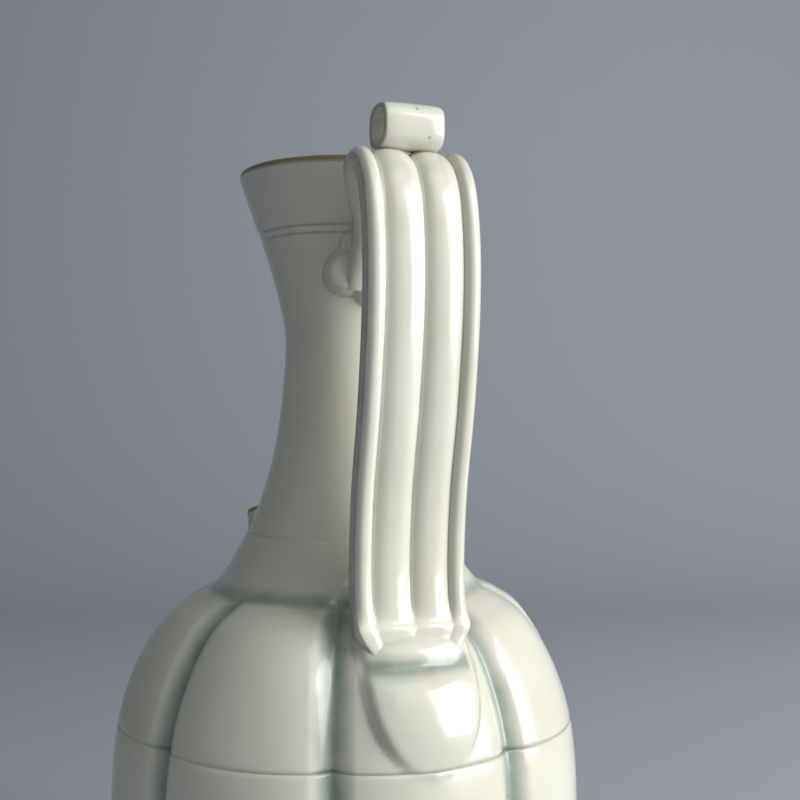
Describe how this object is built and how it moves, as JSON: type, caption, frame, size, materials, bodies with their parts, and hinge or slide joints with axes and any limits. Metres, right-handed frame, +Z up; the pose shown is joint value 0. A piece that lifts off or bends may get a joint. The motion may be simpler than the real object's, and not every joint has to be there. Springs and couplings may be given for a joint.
{
  "type": "ewer",
  "caption": "Melon-shaped glazed porcelain ewer with a lobed body, trumpet neck, short spout and ribbed strap handle with a cord loop.",
  "frame": {"origin": "centre of the bounding box's base, on the surface that the foot stands on", "axes": "+Z up along the vessel's axis; +X towards the spout, the handle is on -X; +Y to the left of someone who looks along +X"},
  "size_m": [0.1088, 0.089, 0.1756],
  "materials": {
    "glazed_porcelain": "glossy pale greenish-white glaze",
    "pooled_glaze": "glossy blue-green glaze where it pools",
    "bare_clay": "matt unglazed fired clay"
  },
  "bodies": {
    "root": {"foot_ring": "bare_clay", "lower_body": "glazed_porcelain", "upper_body": "glazed_porcelain", "belly_luting": "bare_clay", "neck": "glazed_porcelain", "neck_luting": "pooled_glaze", "spout": "glazed_porcelain", "spout_luting": "pooled_glaze", "handle_strap": "glazed_porcelain", "neck_pad": "glazed_porcelain", "shoulder_tongue": "glazed_porcelain", "lid_loop": "glazed_porcelain"}
  },
  "joints": []
}
